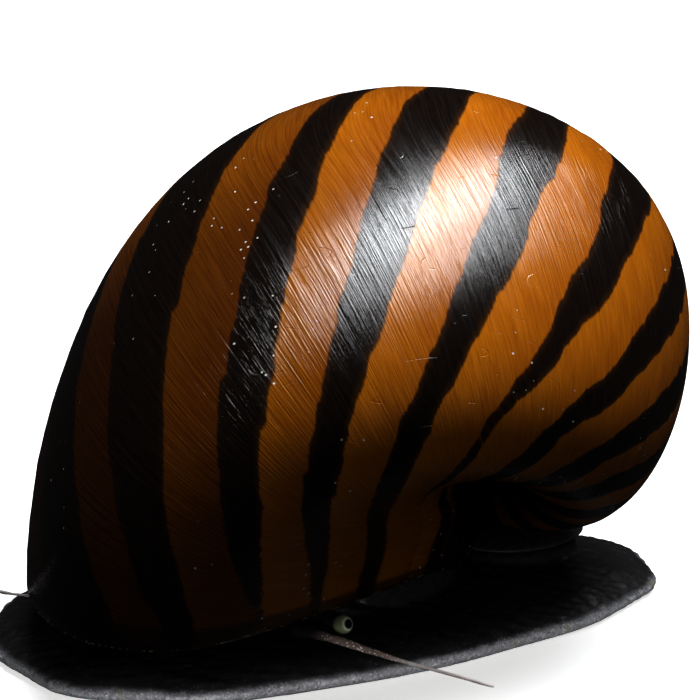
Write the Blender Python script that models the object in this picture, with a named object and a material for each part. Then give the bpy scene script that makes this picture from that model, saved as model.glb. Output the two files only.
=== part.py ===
"""A nerite snail, life size, at rest on the sole of its foot.

Metres, +Z up. The animal faces -X and its left side is -Y. The origin is on the floor,
under the middle of the sole. The shell is one horn that winds round a tilted axis and
grows by the same factor in every turn, cut level at the lip. Neck, mantle edge and head
fill the shell's mouth, and the foot is parted into three lengths.
"""

import math

import bmesh
import bpy
import numpy as np
from mathutils import Vector

MM = 0.001
NAME = "nerite_snail"

# Clearances between neighbouring sub-parts
GAP = 0.3 * MM
SMALL_GAP = 0.15 * MM

# Shell: where its axis starts, how it tilts and how fast the horn grows
APEX = Vector((7.485, 4.39, 12.65)) * MM
AXIS_TURN = math.radians(34.3)
AXIS_RISE = math.radians(30.5)
GROWTH_PER_TURN = 3.10
HORN_SIZE = 12.8 * MM

# Shell: the horn's cross-section as shares of HORN_SIZE, out from the axis and along it
SECTION_OUT = 0.552
SECTION_HALF_WIDTH = 0.582
SECTION_HALF_LENGTH = 0.9385
SECTION_TOP = 0.009
SECTION_EGG = 0.209
SECTION_LEAN = math.radians(11.9)
SECTION_SQUARENESS = 2.16
COLUMELLA = 0.02

# Shell: the stretches of horn that are joined, and the level of the lip
HORN_ENDS = [math.radians(angle) for angle in (80, -150, -380, -620, -860)]
RING_STEP = math.radians(10)
RING_SIDES = 44
TONGUE_INSET = 0.05 * MM
LIP_HEIGHT = 2.9 * MM

# Shell: near the lip the suture side sinks to the level of the lip,
# and the base side ends at an earlier turning angle
SINK_TURNS = (math.radians(5), math.radians(80))
SINK_DEPTH = 8.0 * MM
SINK_ALONG = (-0.75, -0.15)
BASE_TURN = math.radians(12)
BASE_ALONG = (-0.55, -1.2)
BASE_START = math.radians(-60)

# Shell: the core that fills the axis, as spans along it and thicknesses
CORE_SPAN = (1.5 * MM, 10.5 * MM)
CORE_RADII = (0.25 * MM, 0.9 * MM)
CORE_STEPS = 8

# Shell: the callus, where the inner side of the last stretch spreads over the base of the axis
CALLUS_SHIFT = Vector((3.8, 2.6, -0.9)) * MM
CALLUS_AROUND = [math.radians(angle) for angle in (120, 185, 200, 265)]
CALLUS_TURNS = (math.radians(-150), math.radians(-10))

# The mouth of the shell: wall, mantle edge and neck, from the rim inwards
WALL = 0.8 * MM
MANTLE_WIDTH = 0.8 * MM
MANTLE_DROP = 0.3 * MM
MANTLE_RISE = 0.5 * MM
MOUTH_SIDES = 56
NECK_BOTTOM = 1.8 * MM
NECK_STEPS = ((1.0 * MM, 1.0), (2.4 * MM, 0.9), (3.6 * MM, 0.7), (4.2 * MM, 0.4))
RIM_SMOOTHING = 4
LEVEL_SLACK = 0.001 * MM

# Foot: a flat oval sole, a thin rim and a low domed back
FOOT_FRONT = 13.6 * MM
FOOT_TAIL = 12.1 * MM
FOOT_HALF_WIDTH = 6.8 * MM
FOOT_TAPER = 0.20
FOOT_SQUARENESS = 2.35
FOOT_SIDES = 72
FOOT_PROFILE = ((0.30, 0.0), (0.72, 0.0), (0.965, 0.0), (0.99, 0.12), (1.0, 0.30), (0.985, 0.52),
                (0.945, 0.75), (0.87, 1.0), (0.74, 1.22), (0.52, 1.40), (0.24, 1.50))
RIM_RIPPLE = 0.010
RIM_WAVES = 11
FOOT_CUTS = (-5.2 * MM, 4.4 * MM)

# Head: turned a little to the left, low under the lip
HEAD_CENTRE = Vector((-4.5, -3.9, 2.55)) * MM
HEAD_HEADING = math.radians(14)
HEAD_RADII = Vector((2.1, 1.35, 0.95)) * MM
SNOUT_AHEAD = 1.7 * MM
SNOUT_DROP = 0.2 * MM
SNOUT_RADII = Vector((1.2, 1.15, 0.68)) * MM
LIP_AHEAD = 2.75 * MM
LIP_SPREAD = 0.42 * MM
LIP_RADII = Vector((0.38, 0.5, 0.36)) * MM
MOUTH_RADII = Vector((0.6, 0.09, 0.5)) * MM

# Eyes on short stalks
EYE_RADIUS = 0.36 * MM
EYE_BACK = 0.59 * MM
EYE_OUT = 2.83 * MM
EYE_HEIGHT = 2.2 * MM
STALK_START = 1.48 * MM
STALK_RADIUS = 0.40 * MM

# Feelers: points of each path from the head outwards, and their thickness
FEELER_ROOT = 0.27 * MM
FEELER_TIP = 0.12 * MM
FEELER_LENGTHS = 3
FEELER_STEPS = 9
LEFT_FEELER = ((-4.6, -5.5, 1.85), (-3.95, -6.9, 1.9), (-2.2, -8.7, 1.42), (-0.95, -10.1, 1.15),
               (0.2, -11.5, 0.95))
RIGHT_FEELER = ((-6.0, -2.6, 1.95), (-8.4, -0.7, 1.95), (-11.0, 0.9, 1.95), (-12.6, 1.4, 2.15),
                (-14.1, 1.4, 2.75), (-15.4, 1.5, 3.4))

# Operculum: the lid carried on the tail
LID_CENTRE = Vector((7.1, 0.3, 1.98)) * MM
LID_RADII = Vector((2.6, 1.9, 0.28)) * MM

# Colours seen in the photograph
SHELL_COLOUR = (0.10, 0.045, 0.015)
FLESH_COLOUR = (0.012, 0.011, 0.012)
MANTLE_COLOUR = (0.12, 0.09, 0.03)
FEELER_COLOUR = (0.16, 0.11, 0.10)
EYE_COLOUR = (0.20, 0.24, 0.16)
LID_COLOUR = (0.30, 0.22, 0.14)


def clear_scene():
    """Remove whatever the scene holds."""
    for item in list(bpy.data.objects):
        bpy.data.objects.remove(item, do_unlink=True)


def make_collection(name):
    """A new collection under the scene."""
    collection = bpy.data.collections.new(name)
    bpy.context.scene.collection.children.link(collection)
    return collection


def make_material(name, colour, roughness):
    """A plain Principled material."""
    material = bpy.data.materials.new(name)
    material.use_nodes = True
    shader = material.node_tree.nodes["Principled BSDF"]
    shader.inputs["Base Color"].default_value = (*colour, 1.0)
    shader.inputs["Roughness"].default_value = roughness
    return material


def object_from_bmesh(name, work, collection):
    """Turn a bmesh into an object of triangles in a collection."""
    bmesh.ops.triangulate(work, faces=work.faces)
    bmesh.ops.recalc_face_normals(work, faces=work.faces)
    mesh = bpy.data.meshes.new(name)
    work.to_mesh(mesh)
    work.free()
    item = bpy.data.objects.new(name, mesh)
    collection.objects.link(item)
    return item


def loft(name, rings, collection, joined=False):
    """A closed body through rings of points.

    Its two ends get a fan of triangles, or, when joined, the last ring meets the first.
    """
    work = bmesh.new()
    rows = [[work.verts.new(point) for point in ring] for ring in rings]
    count = len(rows[0])
    pairs = list(zip(rows, rows[1:]))
    if joined:
        pairs.append((rows[-1], rows[0]))
    for near, far in pairs:
        for i in range(count):
            j = (i + 1) % count
            work.faces.new((near[i], near[j], far[j], far[i]))
    if not joined:
        for row, ring in ((rows[0], rings[0]), (rows[-1], rings[-1])):
            middle = work.verts.new(np.mean(ring, axis=0))
            for i in range(count):
                work.faces.new((row[i], row[(i + 1) % count], middle))
    return object_from_bmesh(name, work, collection)


def box(name, low, high, collection):
    """A box between two corners."""
    work = bmesh.new()
    bmesh.ops.create_cube(work, size=1.0)
    low = Vector(low)
    high = Vector(high)
    bmesh.ops.scale(work, vec=high - low, verts=work.verts)
    bmesh.ops.translate(work, vec=(high + low) / 2, verts=work.verts)
    return object_from_bmesh(name, work, collection)


def ball(name, centre, radii, collection, segments=28, rings=16):
    """An ellipsoid whose long way lies along the head's heading."""
    work = bmesh.new()
    bmesh.ops.create_uvsphere(work, u_segments=segments, v_segments=rings, radius=1.0)
    ahead, left = head_directions()
    for vert in work.verts:
        x, y, z = vert.co
        vert.co = Vector(centre) + ahead * x * radii[0] + left * y * radii[1] + Vector((0, 0, z * radii[2]))
    return object_from_bmesh(name, work, collection)


def apply_boolean(target, operation, tools, solver="EXACT"):
    """Join, cut or keep the common part as triangles, then remove the tools."""
    holder = make_collection("boolean_tools")
    for tool in tools:
        holder.objects.link(tool)
    modifier = target.modifiers.new(operation.lower(), "BOOLEAN")
    modifier.operation = operation
    modifier.operand_type = "COLLECTION"
    modifier.collection = holder
    modifier.solver = solver
    bpy.context.view_layer.update()
    view = bpy.context.evaluated_depsgraph_get()
    result = bpy.data.meshes.new_from_object(target.evaluated_get(view))
    target.modifiers.clear()
    work = bmesh.new()
    work.from_mesh(result)
    bmesh.ops.triangulate(work, faces=work.faces)
    work.to_mesh(result)
    work.free()
    target.data = result
    for tool in tools:
        bpy.data.objects.remove(tool, do_unlink=True)
    bpy.data.collections.remove(holder)
    return target


def keep_largest(item):
    """Keep only the largest closed surface of a mesh, as triangles."""
    work = bmesh.new()
    work.from_mesh(item.data)
    left = set(work.verts)
    groups = []
    while left:
        stack = [left.pop()]
        group = set(stack)
        while stack:
            vert = stack.pop()
            for edge in vert.link_edges:
                other = edge.other_vert(vert)
                if other in left:
                    left.discard(other)
                    group.add(other)
                    stack.append(other)
        groups.append(group)
    groups.sort(key=len)
    for group in groups[:-1]:
        bmesh.ops.delete(work, geom=list(group), context="VERTS")
    bmesh.ops.triangulate(work, faces=work.faces)
    work.to_mesh(item.data)
    work.free()
    return item


def signed_power(value, power):
    """Raise the size of a number to a power and keep its sign."""
    return np.sign(value) * np.abs(value) ** power


def axis_frame():
    """The shell's axis towards the apex, and two directions square to it: front and down."""
    level = math.cos(AXIS_RISE)
    axis = Vector((math.sin(AXIS_TURN) * level, math.cos(AXIS_TURN) * level, math.sin(AXIS_RISE)))
    front = Vector((-math.cos(AXIS_TURN), math.sin(AXIS_TURN), 0))
    return np.array(axis), np.array(front), np.array(front.cross(axis))


def horn_section(sides, inset=0.0):
    """The cross-section in shares of its size: distance out from the axis and along it."""
    around = np.linspace(0, 2 * math.pi, sides, endpoint=False)
    across = signed_power(np.cos(around), 2 / SECTION_SQUARENESS)
    upward = signed_power(np.sin(around), 2 / SECTION_SQUARENESS)
    wide = (SECTION_HALF_WIDTH - inset) * across * (1 + SECTION_EGG * upward)
    tall = (SECTION_HALF_LENGTH - inset) * upward
    out = SECTION_OUT + wide * math.cos(SECTION_LEAN) - tall * math.sin(SECTION_LEAN)
    along = SECTION_TOP - SECTION_HALF_LENGTH + wide * math.sin(SECTION_LEAN) + tall * math.cos(SECTION_LEAN)
    return np.maximum(out, COLUMELLA + inset), along


def ease(value, start, end):
    """A smooth step from 0 at start to 1 at end."""
    share = np.clip((value - start) / (end - start), 0, 1)
    return share * share * (3 - 2 * share)


def horn_ring(turn, inset=0.0, sides=RING_SIDES):
    """One cross-section of the horn at a turning angle, drawn in a little by an inset."""
    axis, front, down = axis_frame()
    size = HORN_SIZE * math.exp(math.log(GROWTH_PER_TURN) * turn / (2 * math.pi))
    out, along = horn_section(sides, inset / size)
    late = max(0.0, turn - BASE_START) / (HORN_ENDS[0] - BASE_START)
    turns = turn - (HORN_ENDS[0] - BASE_TURN) * late * ease(along, *BASE_ALONG)
    sizes = HORN_SIZE * np.exp(math.log(GROWTH_PER_TURN) * turns / (2 * math.pi))
    outward = np.cos(turns)[:, None] * front + np.sin(turns)[:, None] * down
    ring = np.array(APEX) + sizes[:, None] * (out[:, None] * outward + along[:, None] * axis)
    ring[:, 2] -= SINK_DEPTH * ease(turn, *SINK_TURNS) * ease(along, *SINK_ALONG)
    around = np.linspace(0, 2 * math.pi, sides, endpoint=False)
    rise = ease(around, CALLUS_AROUND[0], CALLUS_AROUND[1])
    fall = ease(around, CALLUS_AROUND[3], CALLUS_AROUND[2])
    spread = ease(turn, *CALLUS_TURNS) * rise * fall
    return ring + spread[:, None] * np.array(CALLUS_SHIFT)


def horn(name, start, end, collection, tongue):
    """A stretch of the horn between two turning angles.

    A tongue is one more ring at the far end, a little smaller, that sits in the next stretch.
    """
    count = round((end - start) / RING_STEP) + 1
    rings = [horn_ring(turn) for turn in np.linspace(start, end, count)]
    if tongue:
        rings.append(horn_ring(end + RING_STEP, TONGUE_INSET))
    return loft(name, rings, collection)


def core(collection):
    """The solid rod that fills the shell's axis, thicker towards the base."""
    axis = axis_frame()[0]
    spots = [np.array(APEX) - axis * reach for reach in np.linspace(*CORE_SPAN, CORE_STEPS)]
    return tube("core", spots, np.linspace(*CORE_RADII, CORE_STEPS), collection)


def mouth_outline(shell):
    """The rim of the shell's mouth: the outer edge of its level underside, evenly spaced."""
    work = bmesh.new()
    work.from_mesh(shell.data)
    level = [face for face in work.faces if all(abs(v.co.z - LIP_HEIGHT) < LEVEL_SLACK for v in face.verts)]
    inside = set(level)
    follow = {}
    for face in level:
        for loop in face.loops:
            if loop.link_loop_radial_next.face not in inside:
                follow[loop.vert] = loop.link_loop_next.vert
    rims = []
    while follow:
        first = next(iter(follow))
        rim = [first]
        while rim[-1] in follow:
            rim.append(follow.pop(rim[-1]))
        rims.append([vert.co.copy() for vert in rim])
    work.free()
    closed = np.array(max(rims, key=len))
    reach = np.concatenate([[0], np.cumsum(np.linalg.norm(np.diff(closed, axis=0), axis=1))])
    spots = np.linspace(0, reach[-1], MOUTH_SIDES, endpoint=False)
    rim = np.stack([np.interp(spots, reach, closed[:, k]) for k in range(3)], axis=1)
    for step in range(RIM_SMOOTHING):
        rim = 0.5 * rim + 0.25 * (np.roll(rim, 1, axis=0) + np.roll(rim, -1, axis=0))
    return rim


def mouth_ring(outline, inset, height, share=1.0):
    """The rim drawn in by an inset, shrunk to a share of its width and set at a height."""
    middle = outline.mean(axis=0)
    inward = middle - outline
    inward /= np.linalg.norm(inward, axis=1)[:, None]
    ring = middle + (outline + inward * inset - middle) * share
    ring[:, 2] = height
    return ring


def make_shell(part, cutters):
    """The shell before it is hollowed: stretches of the horn joined and cut level."""
    pieces = []
    for end, start in zip(HORN_ENDS, HORN_ENDS[1:]):
        pieces.append(horn("whorl", start, end, part, tongue=bool(pieces)))
    shell = pieces[0]
    shell.name = "shell"
    apply_boolean(shell, "UNION", pieces[1:] + [core(part)], solver="MANIFOLD")
    reach = 60 * MM
    below = box("below", (-reach, -reach, -reach), (reach, reach, LIP_HEIGHT), cutters)
    apply_boolean(shell, "DIFFERENCE", [below])
    return keep_largest(shell)


def hollow_shell(shell, cutters, outline):
    """Cut the mouth's hollow, a gap wider than the mantle edge and the neck, out of the shell."""
    step = WALL + GAP + MANTLE_WIDTH
    shelf = LIP_HEIGHT + MANTLE_RISE + GAP
    rings = [mouth_ring(outline, WALL, LIP_HEIGHT - 1 * MM)]
    rings.append(mouth_ring(outline, WALL, shelf))
    rings.append(mouth_ring(outline, step, shelf + GAP))
    for rise, share in NECK_STEPS:
        rings.append(mouth_ring(outline, step, LIP_HEIGHT + rise + 2 * GAP, share))
    apply_boolean(shell, "DIFFERENCE", [loft("hollow", rings, cutters)])
    keep_largest(shell)


def head_rooms(cutters):
    """The room of the head, the eyes and the feelers: each one gap larger than the piece."""
    spare = Vector((GAP, GAP, GAP))
    rooms = [ball("head_room", HEAD_CENTRE, HEAD_RADII + spare, cutters)]
    rooms.append(ball("snout_room", snout_centre(), SNOUT_RADII + 2 * spare, cutters))
    for sign, path in ((1, LEFT_FEELER), (-1, RIGHT_FEELER)):
        base, outward = eye_line(sign)
        reach = EYE_OUT + EYE_RADIUS + GAP
        spots = [base + outward * out for out in np.linspace(0, reach, 4)]
        rooms.append(tube("eye_room", spots, [STALK_RADIUS + GAP] * len(spots), cutters))
        route = smooth_path(path, np.linspace(0, 1, FEELER_STEPS * FEELER_LENGTHS))[0]
        rooms.append(tube("feeler_room", route, [FEELER_ROOT + GAP] * len(route), cutters))
    return rooms


def make_neck(part, cutters, outline):
    """The neck: it rises from the back of the foot into the shell and leaves room for the head."""
    start = WALL + MANTLE_WIDTH + 2 * GAP
    rings = [mouth_ring(outline, start, NECK_BOTTOM)]
    for rise, share in NECK_STEPS:
        rings.append(mouth_ring(outline, start, LIP_HEIGHT + rise, share))
    neck = loft("neck", rings, part)
    apply_boolean(neck, "DIFFERENCE", head_rooms(cutters))
    return keep_largest(neck)


def make_mantle(part, cutters, outline):
    """The mantle edge: a ring just inside the lip that hangs a little below it."""
    low = LIP_HEIGHT - MANTLE_DROP
    high = LIP_HEIGHT + MANTLE_RISE
    outer = WALL + GAP
    inner = outer + MANTLE_WIDTH
    middle = (outer + inner) / 2
    loops = [mouth_ring(outline, outer, high), mouth_ring(outline, inner, high)]
    loops.append(mouth_ring(outline, inner, low + GAP))
    loops.append(mouth_ring(outline, middle, low))
    loops.append(mouth_ring(outline, outer, low + GAP))
    mantle = loft("mantle_edge", loops, part, joined=True)
    apply_boolean(mantle, "DIFFERENCE", head_rooms(cutters))
    return keep_largest(mantle)


def foot_rim(sides):
    """The rim of the sole: a long oval, broad in front and narrower at the tail, gently rippled."""
    angle = np.linspace(0, 2 * math.pi, sides, endpoint=False)
    power = 2 / FOOT_SQUARENESS
    length = np.where(np.cos(angle) > 0, FOOT_TAIL, FOOT_FRONT)
    x = length * signed_power(np.cos(angle), power)
    y = FOOT_HALF_WIDTH * signed_power(np.sin(angle), power) * (1 - FOOT_TAPER * x / FOOT_TAIL)
    ripple = 1 + RIM_RIPPLE * np.sin(RIM_WAVES * angle)
    return x * ripple, y * ripple


def make_foot(part, cutters):
    """The foot in three lengths, parted by thin cuts across it."""
    x, y = foot_rim(FOOT_SIDES)
    rings = []
    for share, height in FOOT_PROFILE:
        rings.append(np.stack([x * share, y * share, np.full(FOOT_SIDES, height * MM)], axis=1))
    reach = 40 * MM
    front_cut, tail_cut = FOOT_CUTS
    spans = {
        "foot_front": (-reach, front_cut - GAP / 2),
        "foot_middle": (front_cut + GAP / 2, tail_cut - GAP / 2),
        "foot_tail": (tail_cut + GAP / 2, reach),
    }
    feet = []
    for name, (start, end) in spans.items():
        foot = loft(name, rings, part)
        keeper = box("keeper", (start, -reach, -reach), (end, reach, reach), cutters)
        feet.append(keep_largest(apply_boolean(foot, "INTERSECT", [keeper])))
    return feet


def head_directions():
    """The way the head points and its left side, level with the floor."""
    ahead = Vector((-math.cos(HEAD_HEADING), -math.sin(HEAD_HEADING), 0))
    return ahead, Vector((-ahead.y, ahead.x, 0))


def snout_centre():
    """The middle of the snout, ahead of the head and a little lower."""
    ahead, left = head_directions()
    return HEAD_CENTRE + ahead * SNOUT_AHEAD - Vector((0, 0, SNOUT_DROP))


def eye_line(sign):
    """Where the line through one eye starts inside the head, and the way it runs outward."""
    ahead, left = head_directions()
    base = HEAD_CENTRE - ahead * EYE_BACK
    base.z = EYE_HEIGHT
    return base, left * sign


def make_head(part, cutters):
    """The head: a rounded body with a short snout, two lips and the mouth's slit between them."""
    ahead, left = head_directions()
    head = ball("head", HEAD_CENTRE, HEAD_RADII, part)
    drop = Vector((0, 0, -SNOUT_DROP))
    snout = ball("snout", snout_centre(), SNOUT_RADII, part)
    lips = []
    for side in (1, -1):
        spot = HEAD_CENTRE + ahead * LIP_AHEAD + left * side * LIP_SPREAD + 2 * drop
        lips.append(ball("lip", spot, LIP_RADII, part, segments=16, rings=10))
    apply_boolean(head, "UNION", [snout] + lips)
    slit = HEAD_CENTRE + ahead * (LIP_AHEAD + LIP_RADII[0]) + 3 * drop
    apply_boolean(head, "DIFFERENCE", [ball("mouth", slit, MOUTH_RADII, cutters, segments=16, rings=10)])
    return keep_largest(head)


def tube(name, points, radii, collection):
    """A tapering round tube through points, made as a curve and turned into a closed mesh."""
    curve = bpy.data.curves.new(name, "CURVE")
    curve.dimensions = "3D"
    curve.bevel_depth = 1.0
    curve.bevel_resolution = 2
    curve.use_fill_caps = True
    spline = curve.splines.new("POLY")
    spline.points.add(len(points) - 1)
    for slot, point, radius in zip(spline.points, points, radii):
        slot.co = (*point, 1.0)
        slot.radius = radius
    holder = bpy.data.objects.new(name, curve)
    collection.objects.link(holder)
    bpy.context.view_layer.update()
    view = bpy.context.evaluated_depsgraph_get()
    mesh = bpy.data.meshes.new_from_object(holder.evaluated_get(view))
    bpy.data.objects.remove(holder, do_unlink=True)
    work = bmesh.new()
    work.from_mesh(mesh)
    bmesh.ops.remove_doubles(work, verts=work.verts, dist=0.001 * MM)
    bpy.data.meshes.remove(mesh)
    return object_from_bmesh(name, work, collection)


def smooth_path(points, shares):
    """Points on a smooth curve through the given points, at shares of its length."""
    points = np.array(points) * MM
    knots = np.arange(len(points))
    slopes = np.gradient(points, axis=0)
    fine = np.linspace(0, len(points) - 1, 400)
    i = np.minimum(fine.astype(int), len(points) - 2)
    t = (fine - knots[i])[:, None]
    path = points[i] * (2 * t**3 - 3 * t**2 + 1) + slopes[i] * (t**3 - 2 * t**2 + t)
    path += points[i + 1] * (3 * t**2 - 2 * t**3) + slopes[i + 1] * (t**3 - t**2)
    reach = np.concatenate([[0], np.cumsum(np.linalg.norm(np.diff(path, axis=0), axis=1))])
    spots = np.asarray(shares) * reach[-1]
    return np.stack([np.interp(spots, reach, path[:, k]) for k in range(3)], axis=1), reach[-1]


def make_feeler(side, points, part):
    """One feeler in a few lengths that taper to the tip."""
    total = smooth_path(points, [0, 1])[1]
    pause = SMALL_GAP / total
    feelers = []
    for index in range(FEELER_LENGTHS):
        start = index / FEELER_LENGTHS + (pause if index else 0)
        shares = np.linspace(start, (index + 1) / FEELER_LENGTHS, FEELER_STEPS)
        path = smooth_path(points, shares)[0]
        radii = FEELER_ROOT + (FEELER_TIP - FEELER_ROOT) * shares**2.5
        feelers.append(tube(f"feeler_{side}_{index + 1}", path, radii, part))
    return feelers


def make_eye(side, sign, part):
    """One eye at the end of a short stalk on the side of the head."""
    base, outward = eye_line(sign)
    stalk_end = EYE_OUT - EYE_RADIUS - SMALL_GAP
    spots = [base + outward * out for out in np.linspace(STALK_START, stalk_end, 4)]
    radii = [STALK_RADIUS, STALK_RADIUS, STALK_RADIUS * 0.95, STALK_RADIUS * 0.8]
    stalk = tube(f"eyestalk_{side}", spots, radii, part)
    centre = base + outward * EYE_OUT
    eye = ball(f"eye_{side}", centre, [EYE_RADIUS] * 3, part, segments=16, rings=10)
    return stalk, eye


def main():
    """Build every sub-part and give it its material."""
    clear_scene()
    part = make_collection(NAME)
    cutters = make_collection("cutters")
    shell = make_shell(part, cutters)
    outline = mouth_outline(shell)
    hollow_shell(shell, cutters, outline)
    groups = {
        ("shell", SHELL_COLOUR, 0.25): [shell],
        ("flesh", FLESH_COLOUR, 0.45): [make_neck(part, cutters, outline), make_head(part, cutters)],
        ("mantle", MANTLE_COLOUR, 0.4): [make_mantle(part, cutters, outline)],
        ("feeler", FEELER_COLOUR, 0.4): [],
        ("eye", EYE_COLOUR, 0.08): [],
        ("lid", LID_COLOUR, 0.35): [ball("operculum", LID_CENTRE, LID_RADII, part)],
    }
    members = {name: items for (name, colour, rough), items in groups.items()}
    members["flesh"] += make_foot(part, cutters)
    for side, sign, path in (("left", 1, LEFT_FEELER), ("right", -1, RIGHT_FEELER)):
        stalk, eye = make_eye(side, sign, part)
        members["flesh"].append(stalk)
        members["eye"].append(eye)
        members["feeler"] += make_feeler(side, path, part)
    for (name, colour, rough), items in groups.items():
        material = make_material(name, colour, rough)
        for item in items:
            item.data.name = item.name
            item.data.materials.clear()
            item.data.materials.append(material)
            item.data.polygons.foreach_set("use_smooth", [True] * len(item.data.polygons))


main()
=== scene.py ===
"""The finish of a nerite snail: its striped shell, moist skin, eyes, lid and a plain stage.

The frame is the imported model's: -X is ahead of the snail, -Y its left, +Z up, and the floor is
at 0. Lengths are metres and angles radians, except where a comment says millimetres or degrees.
Shapes that part.py also has are worked out here again from the same sizes, on a finer grid. The
feelers are drawn thinner than the solid ones, and the left one lies about 0.1 mm higher.
"""

import math

import bpy
import numpy as np
from bpy.props import FloatProperty, FloatVectorProperty, PointerProperty
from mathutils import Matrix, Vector


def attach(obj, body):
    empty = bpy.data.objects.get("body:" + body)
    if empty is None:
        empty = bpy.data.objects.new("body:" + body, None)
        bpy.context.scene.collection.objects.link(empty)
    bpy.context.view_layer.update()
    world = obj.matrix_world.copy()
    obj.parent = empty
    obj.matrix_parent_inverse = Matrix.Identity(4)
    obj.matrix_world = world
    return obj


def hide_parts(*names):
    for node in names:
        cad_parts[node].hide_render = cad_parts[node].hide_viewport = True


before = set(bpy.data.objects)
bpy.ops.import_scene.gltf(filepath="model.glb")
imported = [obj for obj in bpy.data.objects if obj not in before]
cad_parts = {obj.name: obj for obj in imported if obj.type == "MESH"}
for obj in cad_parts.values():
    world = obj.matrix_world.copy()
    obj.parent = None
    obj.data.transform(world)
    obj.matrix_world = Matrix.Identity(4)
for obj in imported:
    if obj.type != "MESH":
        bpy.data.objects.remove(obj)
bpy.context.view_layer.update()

bl_info = {
    "name": "Nerite snail finish",
    "version": (1, 0, 0),
    "blender": (4, 5, 0),
    "location": "3D View > Sidebar > Snail",
    "description": "Shell, skin, eyes, lid and stage of a life-size nerite snail",
    "category": "Object",
}

MM = 0.001

# Shell: where its axis starts, how it tilts, and its cross-section as shares of the horn's size
APEX = np.array([7.485, 4.39, 12.65]) * MM
AXIS_TURN = math.radians(34.3)
AXIS_RISE = math.radians(30.5)
SECTION_OUT = 0.552
SECTION_HALF_WIDTH = 0.582
SECTION_HALF_LENGTH = 0.9385
SECTION_TOP = 0.009
SECTION_EGG = 0.209
SECTION_LEAN = math.radians(11.9)
SECTION_SQUARENESS = 2.16
COLUMELLA = 0.02

# Shell: how the last stretch sinks at the suture, ends early at the base and spreads as a callus
LAST_TURN = math.radians(80)
SINK_TURNS = (math.radians(5), math.radians(80))
SINK_DEPTH = 8.0 * MM
SINK_ALONG = (-0.75, -0.15)
BASE_TURN = math.radians(12)
BASE_ALONG = (-0.55, -1.2)
BASE_START = math.radians(-60)
CALLUS_SHIFT = np.array([3.8, 2.6, -0.9]) * MM
CALLUS_AROUND = [math.radians(angle) for angle in (120, 185, 200, 265)]
CALLUS_TURNS = (math.radians(-150), math.radians(-10))

# Shell: the grid's seam lies on the hidden inner side of the whorls. Each span of growth is
# the phase where it starts and ends, in degrees before the lip, and its rows.
SEAM = math.radians(150)
COLUMNS = 380
GROWTH_SPANS = ((-860, -330, 70), (-330, 0, 170))

# Shell: the place around the mouth, in degrees, where places are counted from
FIRST_PLACE = 120

# Shell: where the search for the lip starts, and its steps
LIP_SEARCH_START = math.radians(-90)
LIP_SEARCH_STEPS = 700

# Shell: the rounded rim and the inner wall, as distances inward and upward from the lip in
# millimetres, and the phases that are given to them
RIM_ROWS = ((0.05, -0.05), (0.17, -0.10), (0.36, -0.11), (0.56, -0.04), (0.70, 0.12), (0.78, 0.6), (0.9, 1.6))
RIM_PHASES = (0.05, 3.0)

# Shell: the pale stripes, in degrees. Each is the turning angle where it runs, how far it leans
# back towards the suture, the place around the mouth where it ends, half its width on the crown
# and at the lip, and its painted light: low for the stripes on the left and the lower right, where
# less light falls, so that their colour darkens towards painted shade. Below them are the two
# lengths of the stripes' bend, how much of a degree of turning a degree around the mouth counts
# for, and the place where the lean starts.
STRIPES = (
    (-12, 0.00, 262, 4.0, 3.0, 0.06),
    (-32, -0.03, 236, 4.6, 3.4, 0.09),
    (-52.5, 0.05, 232, 6.0, 3.6, 0.26),
    (-72.5, 0.04, 228, 5.0, 2.8, 0.78),
    (-89.5, 0.09, 221, 5.5, 1.8, 0.95),
    (-107, 0.15, 211.5, 6.4, 2.3, 1.00),
    (-122, 0.27, 206, 6.2, 1.4, 0.95),
    (-140, 0.33, 199, 5.4, 0.8, 0.80),
    (-159, 0.36, 193, 4.6, 0.5, 0.70),
)
STRIPE_BEND = (35.0, 33.0)
STRIPE_METRIC = 0.8
STRIPE_LEAN_FROM = 285.0

# Shell: the stripes on the hidden side, before and after those above. Their step, its spread,
# how far they lean back, where they end, and their widths and glows.
OLD_STRIPES = 30
OLD_STRIPE_STEP = 21.0
OLD_STRIPE_SPREAD = 3
OLD_STRIPE_LEAN = 0.3
OLD_STRIPE_END = 175
OLD_STRIPE_CROWN = (3.4, 5.6)
OLD_STRIPE_NEAR = 0.5
OLD_STRIPE_GLOW = (0.7, 1.0)
YOUNG_STRIPES = (14, 36, 60)
YOUNG_STRIPE_LEAN = 0.1
YOUNG_STRIPE_END = 300
YOUNG_STRIPE_CROWN = (3.4, 5.0)
YOUNG_STRIPE_NEAR = 3.0
YOUNG_STRIPE_GLOW = 0.8

# Shell: where the stripes fade to painted shade on the callus below the crease, where they
# darken on the base, and where painted light lifts the dim stripes on the crown, which faces the
# light from above, as places around the mouth and turning angles in degrees
CALLUS_FADES = ((200, 208), (-125, -105))
BASE_FADES = ((245, 275), (175, 195))
BASE_SHARE = 0.75
CROWN_RISE = (345, 380)
CROWN_PAINTED_LIGHT = 0.45

# Shell: growth lines, in degrees of growth. Fine marks have a step and a height, and rests a
# count, a span, a range of heights and a width. Two kinds of marks shift the stripes sideways.
OLDEST = -880
FINE_MARKS = (0.9, 0.35)
RESTS = 34
REST_SPAN = (-400, 0)
REST_HEIGHTS = (0.5, 1.4)
REST_WIDTH = 0.9
SMALL_SHIFTS = (1.7, 0.26)
LARGE_SHIFTS = (11.0, 0.42)
RELIEF_FADES = ((0.0, 3.0), (-560, -330))

# Shell: the deck side of the mouth from the suture to the base, in millimetres, the rows down
# to it from the end of the horn, and how far they are drawn in
DECK = np.array([(5.8, 2.2), (4.9, 1.3), (4.0, 0.3), (3.2, -0.8), (2.7, -2.0), (2.4, -3.3), (2.1, -4.4)])
DECK_ROWS = (0.2, 0.5, 0.8, 1.0)
DECK_INSET = 0.02

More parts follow.
